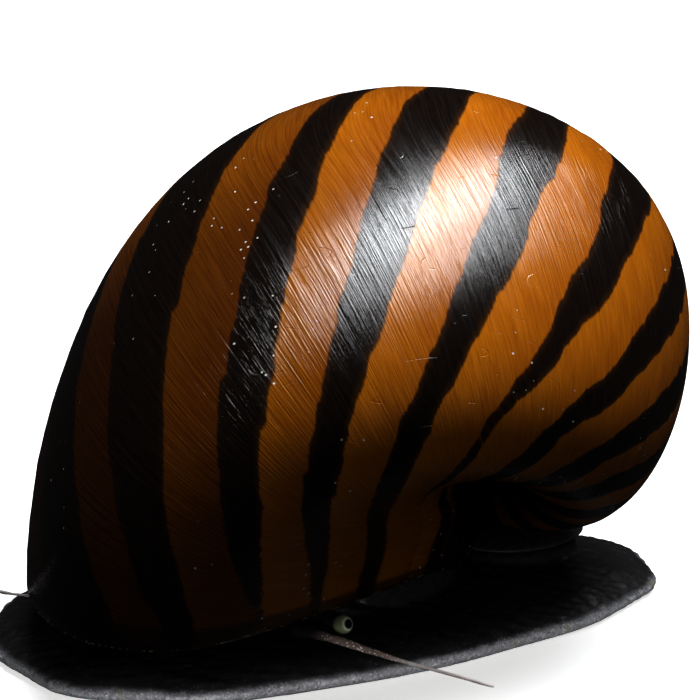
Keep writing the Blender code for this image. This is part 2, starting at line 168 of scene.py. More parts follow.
# Foot, in millimetres: a flat oval sole, a thin rim with a slight ripple and a low domed back. The
# profile holds shares of the rim and heights.
FOOT_FRONT = 13.6
FOOT_TAIL = 12.1
FOOT_HALF_WIDTH = 6.8
FOOT_TAPER = 0.20
FOOT_SQUARENESS = 2.35
FOOT_PROFILE = ((0.30, 0.0), (0.72, 0.0), (0.90, 0.0), (0.965, 0.0), (0.99, 0.12), (1.0, 0.30), (0.985, 0.52),
                (0.945, 0.75), (0.87, 1.0), (0.74, 1.22), (0.52, 1.40), (0.24, 1.50))
FOOT_SIDES = 160
RIM_RIPPLE = 0.010
RIM_WAVES = 11

# Neck inside the lip, in millimetres: its middle and radii, its oval rings as heights and shares
# of the radii, then its top under the shell as insets from the lip, heights and shares of the lip
NECK_CENTRE = (-0.9, 0.9)
NECK_RADII = (5.2, 4.7)
NECK_OVALS = ((0.7, 1.12), (1.3, 1.0), (2.3, 0.94), (2.9, 1.0), (3.15, 1.12))
NECK_ROOF = ((2.0, 3.2, 1.0), (2.2, 3.6, 1.0), (2.2, 4.3, 0.97), (2.2, 5.3, 0.85))

# Mantle edge, in millimetres: its distance from the lip, half its width and half its height,
# how far it sits above the lip, the height of its beads and the points of the lip under each
MANTLE_INSET = 1.0
MANTLE_HALF_WIDTH = 0.414
MANTLE_HALF_HEIGHT = 0.40
MANTLE_RISE = 0.12
MANTLE_SIDES = 16
BEAD_HEIGHT = 0.06
BEAD_POINTS = 5

# Head, in millimetres: its middle, its heading and its size, then the snout and one lip as
# distances ahead, aside and up and their sizes, the mouth's slit, the eyes and their stalks
HEAD_CENTRE = np.array([-4.5, -3.9, 2.55])
HEAD_HEADING = math.radians(14)
HEAD_RADII = (2.1, 1.35, 0.95)
SNOUT = (1.7, -0.2, (1.2, 1.15, 0.68))
LIP = (2.75, 0.42, -0.4, (0.38, 0.5, 0.36))
MOUTH_SPOT = (3.13, -0.6)
MOUTH_DEPTH = 0.25
MOUTH_WIDTH = 0.12
MOUTH_FADES = ((0.5, 0.8), (0.35, 0.6))
EYE_RADIUS = 0.36
EYE_BACK = 0.59
EYE_OUT = 2.83
EYE_HEIGHT = 2.2
EYE_AIM = (0.94, -0.06, 0.33)
STALK_RADIUS = 0.40
STALK_START = 0.6
STALK_END = 2.71
STALK_TAPER = (1.25, 0.75)
STALK_STEPS = 8

# Feelers, in millimetres: the radii they are built with and the power of their taper, the finer
# radii they are drawn in to, and the shares of their length and the distances from their path
# over which that happens. Their tip is rounded and their rings are faint. Then come where and how
# strongly their colour sets in, where they start inside the head, aside and up, and their paths.
FEELER_ROOT = 0.27
FEELER_TIP = 0.12
FEELER_POWER = 2.5
FEELER_STEPS = 120
FEELER_ROUND = (0.02, 0.05)
FEELER_RINGS = (0.03, 160)
FINE_ROOT = 0.16
FINE_TIP = 0.065
FINE_TAPER = (0.20, 0.70)
FINE_START = (0.04, 0.20)
FINE_REACH = (0.36, 0.55)
FINE_MARGIN = 0.7
FINE_STEPS = 160
COLOUR_START = (0.10, 0.28)
COLOUR_SHARES = (1.0, 0.5)
FEELER_ORIGIN = (0.7, -0.35)
FEELER_BASE_STEPS = 8
LEFT_FEELER = ((-4.6, -5.5, 1.9), (-3.95, -6.9, 1.97), (-2.2, -8.7, 1.50), (-0.95, -10.1, 1.28),
               (0.25, -11.5, 1.06))
RIGHT_FEELER = ((-6.0, -2.6, 1.95), (-8.4, -0.7, 1.95), (-11.0, 0.9, 1.95), (-12.6, 1.4, 2.15),
                (-14.1, 1.4, 2.75), (-15.4, 1.5, 3.4))

# Lid on the tail, in millimetres: its middle, its size, the pad of skin below it, the point where
# its growth starts and the height and frequency of its ridges
LID_CENTRE = np.array([7.1, 0.3, 1.98])
LID_RADII = (2.6, 1.9, 0.28)
LID_BED = ([0, 0, -0.5], (2.35, 1.7, 0.42))
LID_START = [-2.2, -0.6]
LID_RIDGES = (0.03, 14)
LID_RIDGE_FADE = 0.2

# Skin, in millimetres: the smoothing of the mesh, its bumps as heights, lengths and seeds, the
# heights above the floor over which they set in, and how the lengths of their waves spread
SMOOTH_SHARE = 0.5
SMOOTH_ROUNDS = 4
SKIN_BUMPS = ((0.022, 0.55, 5), (0.016, 1.5, 6))
SKIN_BUMP_RISE = (0.02, 0.25)
WAVE_SPREAD = (0.6, 1.5)

# Rings and points of the meshes: how near to a pole the first ring of a ball lies, in radians,
# the rings and sides of the balls, and the points of a path and the sides of its tube
POLE_GAP = 0.02
BALL_GRID = (24, 36)
EYE_GRID = (40, 56)
LID_GRID = (60, 120)
PATH_POINTS = 600
TUBE_SIDES = 20

# Colours of small marks, which the settings don't hold
# Painted shade that the dim stripes darken to
STRIPE_SHADE = (0.020, 0.0035, 0.001)
GROUND_STREAK = (0.016, 0.008, 0.004)
DUST = (0.80, 0.77, 0.70)
# Partly a painted highlight: the lip's yellow brown dashes, drawn paler than their own colour
LIP_DASH_AND_GLINT = (0.80, 0.66, 0.38)
PALE_FLECK = (0.46, 0.46, 0.47)
DARK_PIT = (0.012, 0.012, 0.013)
# Partly a painted highlight: pale grains, near white so that on the feelers they stand in for glints
GRAIN_AND_GLINT = (1.0, 0.97, 0.90)
OLIVE_BLOTCH = (0.17, 0.15, 0.09)
FEELER_PATCH = (1.0, 0.97, 0.95)
MANTLE_SKIN = (0.030, 0.020, 0.009)
MANTLE_DOTS = (0.42, 0.28, 0.07)
EYE_CLOUD = (0.20, 0.22, 0.10)
EYE_RING = (0.80, 0.84, 0.74)
LID_GROOVE = (0.012, 0.011, 0.012)

# Stage, in metres. Each light has its place, target, size and colour, and two are narrow beams.
STAGE_TARGET = (0.0, 0.0, 10 * MM)
FLOOR_HALF = 2.0
FLOOR_DROP = 0.02 * MM
FLOOR_COLOUR = (0.60, 0.60, 0.60)
FLOOR_GLOW = (1.0, 1.0, 0.99)
FLOOR_GLOW_STRENGTH = 0.72
SKY_STRENGTH = 0.015
PICTURE_GAMMA = 0.8
CAMERA_RANGE = (0.005, 20.0)
LIGHTS = {
    "key": ((0.060, -0.012, 0.26), STAGE_TARGET, (0.15, 0.19), (0.95, 0.975, 1.0)),
    "low": ((-0.018, -0.055, 0.0004), (-0.002, 0, 0.0004), (0.07, 0.0005), (0.97, 0.98, 1.0)),
    "fill": ((0.0, -0.26, 0.05), STAGE_TARGET, (0.2, 0.2), (1.0, 0.97, 0.92)),
    "side": ((-0.022, -0.060, 0.0026), (-0.0022, -0.0085, 0.0017), (0.03, 0.0004), (1.0, 1.0, 1.0)),
    "core": ((0.058, 0.010, 0.255), STAGE_TARGET, (0.06, 0.09), (0.93, 0.965, 1.0)),
}
SPREADS = {"low": math.radians(1.6), "side": math.radians(2.0)}


def length_setting(name, description, default):
    """A setting that holds a length."""
    return FloatProperty(name=name, description=description, default=default, unit="LENGTH", precision=5)


def power_setting(name, description, default):
    """A setting that holds the power of a light."""
    return FloatProperty(name=name, description=description, default=default, unit="POWER", precision=5)


def colour_setting(name, description, default):
    """A setting that holds a colour."""
    return FloatVectorProperty(name=name, description=description, default=default, subtype="COLOR")


class ShellSizes(bpy.types.PropertyGroup):
    """Sizes and colours of the shell."""

    horn: length_setting("Horn size", "Length unit of the last whorl", 12.8 * MM)
    growth: FloatProperty(name="Growth per turn", description="How many times larger each turn is",
                          default=3.10)
    lip: length_setting("Lip height", "Height of the level lip", 2.9 * MM)
    relief: length_setting("Relief", "Height of the growth ridges", 0.018 * MM)
    dark: colour_setting("Dark", "Ground colour", (0.005, 0.0025, 0.002))
    pale: colour_setting("Pale", "Stripe colour", (0.48, 0.160, 0.005))
    deep: colour_setting("Deep", "Stripe colour in its darker streaks", (0.27, 0.068, 0.002))


class FleshSizes(bpy.types.PropertyGroup):
    """Sizes and colours of the skin."""

    grain: length_setting("Grain", "Edge length of the skin's mesh", 0.114 * MM)
    # Painted shade: the back is drawn near black, darker than the skin's own dark grey, for the shell's
    # shadow
    back: colour_setting("Back", "Dark upper skin", (0.013, 0.0125, 0.0135))
    edge: colour_setting("Edge", "Grey rim of the foot", (0.20, 0.20, 0.21))
    # Painted light: the outer half of the feelers is drawn far paler than the inner, where it reaches out of
    # the shell's shadow
    feeler: colour_setting("Feeler", "Inner half of the feelers", (0.28, 0.205, 0.185))
    tip: colour_setting("Feeler tip", "Outer half of the feelers", (0.95, 0.86, 0.83))


class EyeSizes(bpy.types.PropertyGroup):
    """Colours of eyes and lid."""

    ball: colour_setting("Ball", "Glassy body of the eye", (0.42, 0.48, 0.30))
    pupil: colour_setting("Pupil", "Pupil", (0.004, 0.004, 0.004))
    lid: colour_setting("Lid", "Horn of the lid", (0.045, 0.038, 0.036))


class StageSizes(bpy.types.PropertyGroup):
    """Camera and lights."""

    turn: FloatProperty(name="Turn", description="Camera angle about the vertical",
                        default=math.radians(-24.5), subtype="ANGLE")
    rise: FloatProperty(name="Rise", description="Camera angle above the floor",
                        default=math.radians(16.5), subtype="ANGLE")
    reach: length_setting("Reach", "Distance of the camera", 150 * MM)
    lens: FloatProperty(name="Lens", description="Focal length", default=215.0, subtype="DISTANCE_CAMERA")
    key: power_setting("Key light", "Power of the light from above", 1.15)
    low: power_setting("Low light", "Power of the light along the floor", 0.0002)
    fill: power_setting("Fill light", "Power of the light from in front", 0.075)
    side: power_setting("Side light", "Power of the thin light on the feelers", 0.00003)
    core: power_setting("Core light", "Power of the small light in the highlight", 0.26)


class Term:
    """A shader socket that takes Python arithmetic: each operator adds a Math node."""

    def __init__(self, finish, socket):
        self.finish = finish
        self.socket = socket

    def _math(self, operation, *values):
        made = self.finish.node("ShaderNodeMath", {"operation": operation})
        for socket, value in zip(made.inputs, values):
            self.finish.feed(socket, value)
        return Term(self.finish, made.outputs[0])

    def __add__(self, other):
        return self._math("ADD", self, other)

    def __radd__(self, other):
        return self._math("ADD", other, self)

    def __sub__(self, other):
        return self._math("SUBTRACT", self, other)

    def __rsub__(self, other):
        return self._math("SUBTRACT", other, self)

    def __mul__(self, other):
        return self._math("MULTIPLY", self, other)

    def __rmul__(self, other):
        return self._math("MULTIPLY", other, self)

    def at_most(self, other):
        """The smaller of two values."""
        return self._math("MINIMUM", self, other)

    def at_least(self, other):
        """The larger of two values."""
        return self._math("MAXIMUM", self, other)

    def size(self):
        """The value without its sign."""
        return self._math("ABSOLUTE", self)

    def step(self, low, high):
        """0 below low, 1 above high and a smooth rise between them."""
        made = self.finish.node("ShaderNodeMapRange", {"interpolation_type": "SMOOTHSTEP"}, Value=self,
                                From_Min=low, From_Max=high)
        return Term(self.finish, made.outputs["Result"])

    def fall(self, low, high):
        """1 below low, 0 above high and a smooth fall between them."""
        return 1.0 - self.step(low, high)


class Finish:
    """A material under construction: one Principled shader and the nodes that feed it."""

    def __init__(self, name):
        self.material = bpy.data.materials.new(name)
        self.material.use_nodes = True
        self.tree = self.material.node_tree
        self.shader = self.tree.nodes["Principled BSDF"]

    def node(self, kind, settings=None, **inputs):
        """Any node: its settings first, then the values or links of its sockets."""
        made = self.tree.nodes.new(kind)
        for name, value in (settings or {}).items():
            setattr(made, name, value)
        for name, value in inputs.items():
            self.feed(made.inputs[name.replace("_", " ")], value)
        return made

    def feed(self, socket, value):
        """Link a term or a socket, or set a plain value."""
        if isinstance(value, Term):
            self.tree.links.new(value.socket, socket)
        elif isinstance(value, bpy.types.NodeSocket):
            self.tree.links.new(value, socket)
        elif hasattr(value, "__len__") and len(value) == 3 and len(socket.default_value) == 4:
            socket.default_value = (*value, 1.0)
        else:
            socket.default_value = value

    def attribute(self, name):
        """The three parts of a vector attribute as terms."""
        source = self.node("ShaderNodeAttribute", {"attribute_name": name})
        parts = self.node("ShaderNodeSeparateXYZ", Vector=source.outputs["Vector"])
        return [Term(self, output) for output in parts.outputs]

    def vector(self, x, y, z):
        """Three numbers or terms as one vector."""
        return self.node("ShaderNodeCombineXYZ", X=x, Y=y, Z=z).outputs[0]

    def place(self):
        """Object coordinates."""
        return self.node("ShaderNodeTexCoord").outputs["Object"]

    def noise(self, vector, scale, detail=2.0, roughness=0.5):
        """Soft noise from 0 to 1."""
        made = self.node("ShaderNodeTexNoise", {"noise_dimensions": "3D"}, Vector=vector, Scale=scale,
                         Detail=detail, Roughness=roughness)
        return Term(self, made.outputs["Fac"])

    def cells(self, vector, scale):
        """Distance to the nearest of many scattered points."""
        made = self.node("ShaderNodeTexVoronoi", {"feature": "F1"}, Vector=vector, Scale=scale)
        return Term(self, made.outputs["Distance"])

    def mix(self, factor, first, second):
        """A colour between two colours."""
        made = self.node("ShaderNodeMix", {"data_type": "RGBA"})
        for index, value in ((0, factor), (6, first), (7, second)):
            self.feed(made.inputs[index], value)
        return made.outputs[2]

    def bump(self, height, distance, strength):
        """A normal tilted by the slope of a height."""
        made = self.node("ShaderNodeBump", Height=height, Distance=distance, Strength=strength)
        return made.outputs["Normal"]

    def set(self, **inputs):
        """Feed the Principled shader's sockets."""
        for name, value in inputs.items():
            self.feed(self.shader.inputs[name.replace("_", " ")], value)


def ease(value, start, end):
    """A smooth step from 0 at start to 1 at end."""
    share = np.clip((value - start) / (end - start), 0, 1)
    return share * share * (3 - 2 * share)


def signed_power(value, power):
    """Raise the size of a number to a power and keep its sign."""
    return np.sign(value) * np.abs(value) ** power


def whole_turn(count):
    """Angles at even steps once round."""
    return np.linspace(0, 2 * math.pi, count, endpoint=False)


def unit(vectors):
    """Vectors of length 1 along the given ones."""
    return vectors / np.linalg.norm(vectors, axis=-1, keepdims=True)


def grid_faces(rows, columns):
    """Quads of a grid of rows by columns whose columns close on themselves."""
    row, column = np.meshgrid(np.arange(rows - 1), np.arange(columns), indexing="ij")
    after = (column + 1) % columns
    near = row * columns
    far = (row + 1) * columns
    return np.stack([near + column, near + after, far + after, far + column], axis=-1).reshape(-1, 4)


def fan_faces(row_start, columns, centre, outward):
    """Triangles from one row of a grid to a centre point."""
    column = np.arange(columns)
    after = (column + 1) % columns
    pair = (column, after) if outward else (after, column)
    return np.stack([row_start + pair[0], row_start + pair[1], np.full(columns, centre)], axis=-1)


def tube_mesh(rows):
    """Points and faces of a closed tube: an array of rings, with a fan at each end."""
    count, columns = rows.shape[:2]
    ends = np.stack([rows[0].mean(axis=0), rows[-1].mean(axis=0)])
    points = np.vstack([rows.reshape(-1, 3), ends])
    quads = grid_faces(count, columns)
    start = fan_faces(0, columns, count * columns, outward=False)
    end = fan_faces((count - 1) * columns, columns, count * columns + 1, outward=True)
    return points, [face.tolist() for face in (quads, start, end)]


def make_object(name, mesh, material, attributes):
    """A smooth object at the origin, with its vector attributes and its material."""
    for label, values in attributes.items():
        layer = mesh.attributes.new(label, "FLOAT_VECTOR", "POINT")
        layer.data.foreach_set("vector", np.ascontiguousarray(values, dtype=np.float32).ravel())
    mesh.polygons.foreach_set("use_smooth", np.ones(len(mesh.polygons), dtype=bool))
    mesh.materials.clear()
    mesh.materials.append(material)
    mesh.update()
    piece = bpy.data.objects.new(name, mesh)
    bpy.context.scene.collection.objects.link(piece)
    return piece


def make_piece(name, points, groups, material, attributes=None):
    """An object made of points and groups of faces."""
    mesh = bpy.data.meshes.new(name)
    mesh.from_pydata(points.tolist(), [], [face for group in groups for face in group])
    return make_object(name, mesh, material, attributes or {})


def finish_piece(piece, slot, *nodes):
    """The piece rides on the snail's one body and stands for the CAD nodes."""
    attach(piece, "root")
    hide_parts(*nodes)


class Horn:
    """The shell as a function of two angles: the turn about its axis and the place around
    its cross-section. The cross-section is a leaning superellipse whose size grows by the
    same factor in every turn. Near the lip it sinks at the suture and spreads at the base.
    """

    def __init__(self, sizes):
        self.size = sizes.horn
        self.rate = math.log(sizes.growth) / (2 * math.pi)
        self.lip = sizes.lip
        level = math.cos(AXIS_RISE)
        self.axis = np.array([math.sin(AXIS_TURN) * level, math.cos(AXIS_TURN) * level,
                              math.sin(AXIS_RISE)])
        self.front = np.array([-math.cos(AXIS_TURN), math.sin(AXIS_TURN), 0])
        self.down = np.cross(self.front, self.axis)

    def section(self, around):
        """Distance out from the axis and along it, as shares of the size."""
        across = signed_power(np.cos(around), 2 / SECTION_SQUARENESS)
        upward = signed_power(np.sin(around), 2 / SECTION_SQUARENESS)
        wide = SECTION_HALF_WIDTH * across * (1 + SECTION_EGG * upward)
        tall = SECTION_HALF_LENGTH * upward
        out = SECTION_OUT + wide * math.cos(SECTION_LEAN) - tall * math.sin(SECTION_LEAN)
        along = SECTION_TOP - SECTION_HALF_LENGTH + wide * math.sin(SECTION_LEAN)
        return np.maximum(out, COLUMELLA), along + tall * math.cos(SECTION_LEAN)

    def point(self, turn, around):
        """Points of the horn at true turning angles."""
        turn, around = np.broadcast_arrays(turn, around)
        out, along = self.section(around)
        early = (LAST_TURN - BASE_TURN) / (LAST_TURN - BASE_START) * ease(along, *BASE_ALONG)
        named = np.where(turn > BASE_START, BASE_START + (turn - BASE_START) / (1 - early), turn)
        size = self.size * np.exp(self.rate * turn)
        outward = np.cos(turn)[..., None] * self.front + np.sin(turn)[..., None] * self.down
        point = APEX + size[..., None] * (out[..., None] * outward + along[..., None] * self.axis)
        point[..., 2] -= SINK_DEPTH * ease(named, *SINK_TURNS) * ease(along, *SINK_ALONG)
        place = np.mod(around, 2 * math.pi)
        rise = ease(place, CALLUS_AROUND[0], CALLUS_AROUND[1])
        fall = ease(place, CALLUS_AROUND[3], CALLUS_AROUND[2])
        spread = ease(named, *CALLUS_TURNS) * rise * fall
        return point + spread[..., None] * CALLUS_SHIFT

    def lip_turns(self, around):
        """Where each line of growth reaches the level of the lip or, on the inner side, where
        the horn ends above it.
        """
        out, along = self.section(around)
        last = LAST_TURN - (LAST_TURN - BASE_TURN) * ease(along, *BASE_ALONG)
        shares = np.linspace(0, 1, LIP_SEARCH_STEPS)[:, None]
        turns = LIP_SEARCH_START + (last - LIP_SEARCH_START) * shares
        height = self.point(turns, around[None, :])[..., 2] - self.lip
        crossing = (height[:-1] > 0) & (height[1:] <= 0)
        found = crossing.any(axis=0)
        row = len(turns) - 2 - np.argmax(crossing[::-1], axis=0)
        column = np.arange(len(around))
        above = height[row, column]
        share = above / np.where(found, above - height[row + 1, column], 1.0)
        lip = turns[row, column] + share * (turns[row + 1, column] - turns[row, column])
        return np.where(found, lip, last), found


def stripe_fields(turn, around):
    """How far each point is from the nearest stripe's border, where it is across that stripe,
    and the stripe's painted light, which on the hidden stripes is their own tone; it falls to
    painted shade on the callus, drops on the base and is lifted by painted light on the crown.
    A stripe keeps to one turning angle and bends, near the lip, into a
    line that keeps its place around the mouth: exp(-a) + exp(-b) = 1, where a and b are the
    distances from the two lines over the lengths in STRIPE_BEND.
    """
    turn = np.degrees(turn)
    place = np.degrees(np.mod(around, 2 * math.pi))
    place = np.where(place < FIRST_PLACE, place + 360, place)
    draw = np.random.default_rng(7)
    rows = list(STRIPES)
    for index in range(OLD_STRIPES):
        base = STRIPES[-1][0] - OLD_STRIPE_STEP * (index + 1)
        base += draw.uniform(-OLD_STRIPE_SPREAD, OLD_STRIPE_SPREAD)
        crown = draw.uniform(*OLD_STRIPE_CROWN)
        painted_light_and_tone = draw.uniform(*OLD_STRIPE_GLOW)
        rows.append((base, OLD_STRIPE_LEAN, OLD_STRIPE_END, crown, OLD_STRIPE_NEAR, painted_light_and_tone))
    for base in YOUNG_STRIPES:
        crown = draw.uniform(*YOUNG_STRIPE_CROWN)
        end = YOUNG_STRIPE_END + base
        rows.append((base, YOUNG_STRIPE_LEAN, end, crown, YOUNG_STRIPE_NEAR, YOUNG_STRIPE_GLOW))
    edge = np.full(turn.shape, 90.0)
    across = np.zeros(turn.shape)
    painted_light_and_tone = np.zeros(turn.shape)
    for base, lean, end, crown, near, strength in rows:
        first = (turn - base + lean * np.maximum(place - STRIPE_LEAN_FROM, 0)) / STRIPE_BEND[0]
        second = (place - end) / STRIPE_BEND[1]
        field = -np.logaddexp(-first, -second) * STRIPE_BEND[0]
        share = 1 / (1 + np.exp(np.clip(second - first, -40, 40)))
        slope = np.hypot(1 - share, share * STRIPE_BEND[0] / STRIPE_BEND[1] / STRIPE_METRIC)
        field = field / slope
        half = crown + (near - crown) * share**2
        distance = np.abs(field) - half
        nearer = distance < edge
        edge = np.where(nearer, distance, edge)
        across = np.where(nearer, np.clip(field / half, -1.6, 1.6), across)
        painted_light_and_tone = np.where(nearer, strength, painted_light_and_tone)
    # Painted shade on the callus below the crease, darker stripes on the base, painted light on the crown
    callus = (1 - ease(place, *CALLUS_FADES[0])) * ease(turn, *CALLUS_FADES[1])
    base = (1 - ease(place, *BASE_FADES[0])) * ease(-turn, *BASE_FADES[1])
    crown = CROWN_PAINTED_LIGHT * ease(place, *CROWN_RISE) * (1 - painted_light_and_tone)
    painted_light_and_tone = (painted_light_and_tone + crown) * (1 - callus) * (1 - BASE_SHARE * base)
    return np.stack([edge, across, painted_light_and_tone], axis=-1)


def growth_relief(phase):
    """The height of growth lines at a phase of growth in degrees: many fine ridges at seeded
    phases, and a few stronger rests.
    """
    draw = np.random.default_rng(11)
    marks = np.arange(OLDEST, 4, FINE_MARKS[0])
    height = np.interp(phase, marks, draw.normal(0, FINE_MARKS[1], len(marks)))
    for rest in draw.uniform(*REST_SPAN, RESTS):
        height = height + draw.uniform(*REST_HEIGHTS) * np.exp(-(((phase - rest) / REST_WIDTH) ** 2))
    return height


def growth_shift(phase):
    """How far, in degrees, the stripes step sideways at each phase of growth."""
    draw = np.random.default_rng(3)
    near = np.arange(OLDEST, 4, SMALL_SHIFTS[0])
    small = draw.normal(0, SMALL_SHIFTS[1], len(near))
    far = np.arange(OLDEST, 10, LARGE_SHIFTS[0])
    large = draw.normal(0, LARGE_SHIFTS[1], len(far))
    nearest = np.clip(np.searchsorted(far, phase), 1, len(far)) - 1
    return np.interp(phase, near, small) + large[nearest]


def mouth_loop(horn):
    """The lip as a closed loop, in metres."""
    around = SEAM + whole_turn(COLUMNS)
    turns, found = horn.lip_turns(around)
    return level_lip(horn.point(turns, around), around, found, horn.lip)


def level_lip(points, around, found, level):
    """The lip at one level: where the horn ends above it, the lip follows the deck."""
    lip = points.copy()
    angle = np.mod(around[~found], 2 * math.pi)
    marks = np.linspace(angle.min(), angle.max(), len(DECK))
    lip[~found, 0] = np.interp(angle, marks, DECK[:, 0] * MM)
    lip[~found, 1] = np.interp(angle, marks, DECK[:, 1] * MM)
    lip[:, 2] = level
    return lip


def lip_ring(points, inset, height, share=1.0):
    """The lip drawn in towards the mouth's middle by a distance, at a height."""
    middle = points.mean(axis=0)
    inward = middle - points
    inward = inward / np.linalg.norm(inward[:, :2], axis=1)[:, None]
    ring = middle + (points + inward * inset - middle) * share
    ring[:, 2] = height
    return ring


def shell_finish(sizes):
    """Gloss over near black, with orange brown stripes, streaks along the growth lines,
    fine scratches and pale specks. The stripes darken towards painted shade where their painted
    light is low, and the yellow brown dashes on the lip are drawn paler than their own colour as a
    partly painted highlight. Attribute growth is the phase before the lip in degrees
    and the place around in radians.
    """
    finish = Finish("shell_finish")
    phase, around = finish.attribute("growth")[:2]
    edge, across, painted_light_and_tone = finish.attribute("stripe")
    lines = finish.vector(phase * 1.1, around * 3.0, 0.0)
    fine = finish.noise(lines, 1.6, detail=4.0, roughness=0.62)
    broad = finish.noise(finish.vector(phase * 0.16, around * 2.2, 4.0), 1.5, detail=3.0)
    frayed = finish.noise(finish.vector(phase * 0.9, around * 9.0, 8.0), 1.2, detail=3.0, roughness=0.6)
    border = edge + (frayed - 0.5) * 1.1 + (broad - 0.5) * 0.7
    stripe = border.fall(-0.42, 0.36) * (1.0 - (phase + (broad - 0.5) * 3.0).step(-7.0, -4.0) * 0.9)
    halo = border.fall(-0.4, 1.8) * 0.10
    streak = fine.step(0.30, 0.70)
    bright = across.step(-1.5, 1.3)
    tone = 0.14 + painted_light_and_tone * 0.22 + bright * 0.46 + (streak - 0.5) * 0.52 + (broad - 0.5) * 0.5
    tone = tone.at_least(0.0).at_most(1.0)
    pale = finish.mix(tone, sizes.deep, sizes.pale)
    # Painted shade: where the painted light is low, the stripe's colour darkens towards STRIPE_SHADE
    dim = finish.mix(painted_light_and_tone, STRIPE_SHADE, pale)
    ground = finish.mix(streak * 0.6, sizes.dark, GROUND_STREAK)
    colour = finish.mix((stripe + halo).at_most(1.0), ground, dim)
    place = finish.place()
    chips = finish.cells(place, 2100.0).fall(0.065, 0.12)
    speck = chips * finish.noise(place, 240.0, detail=1.0).step(0.54, 0.61)
    colour = finish.mix(speck * 0.85, colour, DUST)
    # Yellow brown dashes along the lip, drawn paler than their own colour: partly a painted highlight
    dashes = finish.noise(finish.vector(0.0, around * 26.0, 6.0), 1.0, detail=2.0).step(0.50, 0.60)
    lip = (phase - 0.1).size().fall(0.25, 0.5) * dashes
    colour = finish.mix(lip * 0.9, colour, LIP_DASH_AND_GLINT)
    hair = finish.noise(finish.vector(phase * 1.6, around * 1.0, 2.0), 1.4, detail=3.0, roughness=0.65)
    rough = (0.20 + (0.5 - hair) * 0.35 + (broad - 0.5) * 0.12 + speck * 0.3).at_least(0.10)
    finish.set(Base_Color=colour, Roughness=rough, IOR=1.58)
    waves = finish.noise(finish.vector(phase * 0.05, around * 7.0, 3.0), 1.0, detail=0.0)
    scratch = (waves - 0.5).size().fall(0.0, 0.010) * broad.step(0.54, 0.62)
    height = fine * 0.40 + hair * 0.75 - scratch * 0.22 - speck * 0.3
    finish.set(Normal=finish.bump(height, 0.045 * MM, 0.9))
    return finish.material


class SNAIL_OT_shell(bpy.types.Operator):
    """Build the striped shell as one growing horn with a rounded lip"""

    bl_idname = "snail.shell"
    bl_label = "Shell"

    def execute(self, context):
        sizes = context.scene.snail_shell
        horn = Horn(sizes)
        around = SEAM + whole_turn(COLUMNS)
        lip, found = horn.lip_turns(around)
        spans = [np.linspace(start, end, count, endpoint=False) for start, end, count in GROWTH_SPANS]
        phase = np.concatenate(spans + [[0.0]])[:, None]
        turn = lip[None, :] + np.radians(phase)
        points = horn.point(turn, around[None, :])
        step = 1e-4
        along = horn.point(turn + step, around[None, :]) - points
        beside = horn.point(turn, around[None, :] + step) - points
        normal = np.cross(beside, along)
        normal /= np.linalg.norm(normal, axis=-1)[..., None] + 1e-20
        fade = ease(-phase, *RELIEF_FADES[0]) * ease(phase, *RELIEF_FADES[1])
        points = points + normal * (growth_relief(phase) * fade * sizes.relief)[..., None]
        level = level_lip(points[-1], around, found, sizes.lip)
        rim = [points[-1] + (lip_ring(level, DECK_INSET * share * MM, sizes.lip) - points[-1]) * share
               for share in DECK_ROWS]
        rim += [lip_ring(level, inset * MM, sizes.lip + rise * MM) for inset, rise in RIM_ROWS]
        rows = np.concatenate([points, np.array(rim)])
        shifted = turn + np.radians(growth_shift(phase))
        stripe = stripe_fields(shifted, np.broadcast_to(around, turn.shape))
        stripe = np.concatenate([stripe, np.repeat(stripe[-1:], len(rim), axis=0)])
        whole_phase = np.broadcast_to(phase, turn.shape)
        rim_phase = np.linspace(*RIM_PHASES, len(rim))[:, None] * np.ones(COLUMNS)
        growth = np.stack([np.concatenate([whole_phase, rim_phase]),
                           np.broadcast_to(around, rows.shape[:2]), np.zeros(rows.shape[:2])], axis=-1)
        mesh_points, groups = tube_mesh(rows)
        ends = [np.vstack([field.reshape(-1, 3), field[0].mean(axis=0), field[-1].mean(axis=0)])
                for field in (growth, stripe)]
        piece = make_piece("shell_surface", mesh_points, groups, shell_finish(sizes),
                           {"growth": ends[0], "stripe": ends[1]})
        finish_piece(piece, "shell", "shell")
        return {"FINISHED"}


def oval_rim(sides):
    """The rim of the sole as x and y: broad in front, narrower at the tail, gently rippled."""
    angle = whole_turn(sides)
    power = 2 / FOOT_SQUARENESS
    length = np.where(np.cos(angle) > 0, FOOT_TAIL, FOOT_FRONT)
    x = length * signed_power(np.cos(angle), power)
    y = FOOT_HALF_WIDTH * signed_power(np.sin(angle), power) * (1 - FOOT_TAPER * x / FOOT_TAIL)
    ripple = 1 + RIM_RIPPLE * np.sin(RIM_WAVES * angle)
    return x * ripple, y * ripple


def foot_rings():
    """The foot's rings in millimetres: the rim shrunk by each share and set at each height."""
    x, y = oval_rim(FOOT_SIDES)
    return np.array([np.stack([x * share, y * share, np.full(len(x), height)], axis=1)
                     for share, height in FOOT_PROFILE])


def head_directions():
    """The way the head points and its left side, level with the floor."""
    ahead = np.array([-math.cos(HEAD_HEADING), -math.sin(HEAD_HEADING), 0.0])
    return ahead, np.array([-ahead[1], ahead[0], 0.0])


def ball_rings(centre, radii, grid=BALL_GRID):
    """An ellipsoid turned to the head's heading: rings of latitude from pole to pole."""
    ahead, left = head_directions()
    pole = 0.5 * math.pi - POLE_GAP
    rise = np.linspace(-pole, pole, grid[0])[:, None]
    turn = whole_turn(grid[1])[None, :]
    x = np.cos(rise) * np.cos(turn) * radii[0]
    y = np.cos(rise) * np.sin(turn) * radii[1]
    z = np.sin(rise) * radii[2] * np.ones_like(turn)
    rings = np.asarray(centre) + x[..., None] * ahead + y[..., None] * left
    return rings + z[..., None] * np.array([0, 0, 1.0])


